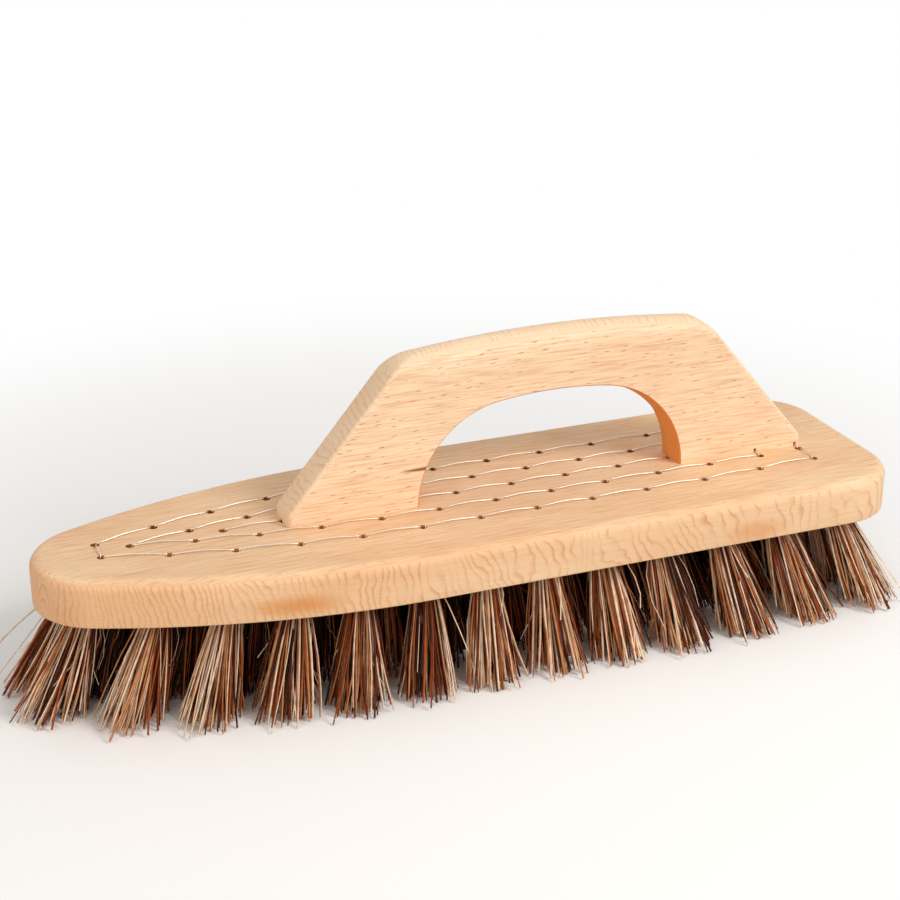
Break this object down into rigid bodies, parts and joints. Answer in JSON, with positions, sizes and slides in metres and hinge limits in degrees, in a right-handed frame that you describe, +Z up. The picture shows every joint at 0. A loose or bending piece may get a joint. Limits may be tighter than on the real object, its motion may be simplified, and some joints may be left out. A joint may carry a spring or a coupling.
{
  "type": "scrub brush",
  "caption": "Flat-iron shaped scrub brush of pale beech with a raised arched grip, wire-drawn tufts of mixed brown, tan and cream plant fibre, and wire stitching on its top face.",
  "frame": {"origin": "on the plane of the trimmed bristle tips, at the middle of the footprint", "axes": "+X from the nose to the straight tail, +Z up from the bristles to the grip, -Y the front side in the picture; the brush is mirrored about Y = 0"},
  "size_m": [0.2902, 0.0976, 0.0995],
  "materials": {
    "beech": "fine sanded, unfinished, satin",
    "fibre": "natural plant fibre, mixed dark brown, red-brown, tan and cream, matt",
    "draw_wire": "drawn steel wire, slightly dull",
    "screw_steel": "zinc-plated steel"
  },
  "bodies": {
    "root": {"block": "beech", "grip": "beech", "screw_nose": "screw_steel", "screw_tail": "screw_steel", "wire_outer": "draw_wire", "wire_inner": "draw_wire", "wire_centre": "draw_wire", "tuft_outer_00": "fibre", "tuft_outer_01": "fibre", "tuft_outer_02": "fibre", "tuft_outer_03": "fibre", "tuft_outer_04": "fibre", "tuft_outer_05": "fibre", "tuft_outer_06": "fibre", "tuft_outer_07": "fibre", "tuft_outer_08": "fibre", "tuft_outer_09": "fibre", "tuft_outer_10": "fibre", "tuft_outer_11": "fibre", "tuft_outer_12": "fibre", "tuft_tail_side": "fibre", "tuft_tail_mid": "fibre", "tuft_inner_tip": "fibre", "tuft_inner_01": "fibre", "tuft_inner_02": "fibre", "tuft_inner_03": "fibre", "tuft_inner_04": "fibre", "tuft_inner_05": "fibre", "tuft_inner_06": "fibre", "tuft_inner_07": "fibre", "tuft_inner_08": "fibre", "tuft_inner_09": "fibre", "tuft_inner_10": "fibre", "tuft_inner_11": "fibre", "tuft_centre_01": "fibre", "tuft_centre_02": "fibre", "tuft_centre_03": "fibre", "tuft_centre_04": "fibre", "tuft_centre_05": "fibre", "tuft_centre_06": "fibre", "tuft_centre_07": "fibre", "tuft_centre_08": "fibre", "tuft_centre_09": "fibre", "tuft_centre_10": "fibre"}
  },
  "joints": []
}
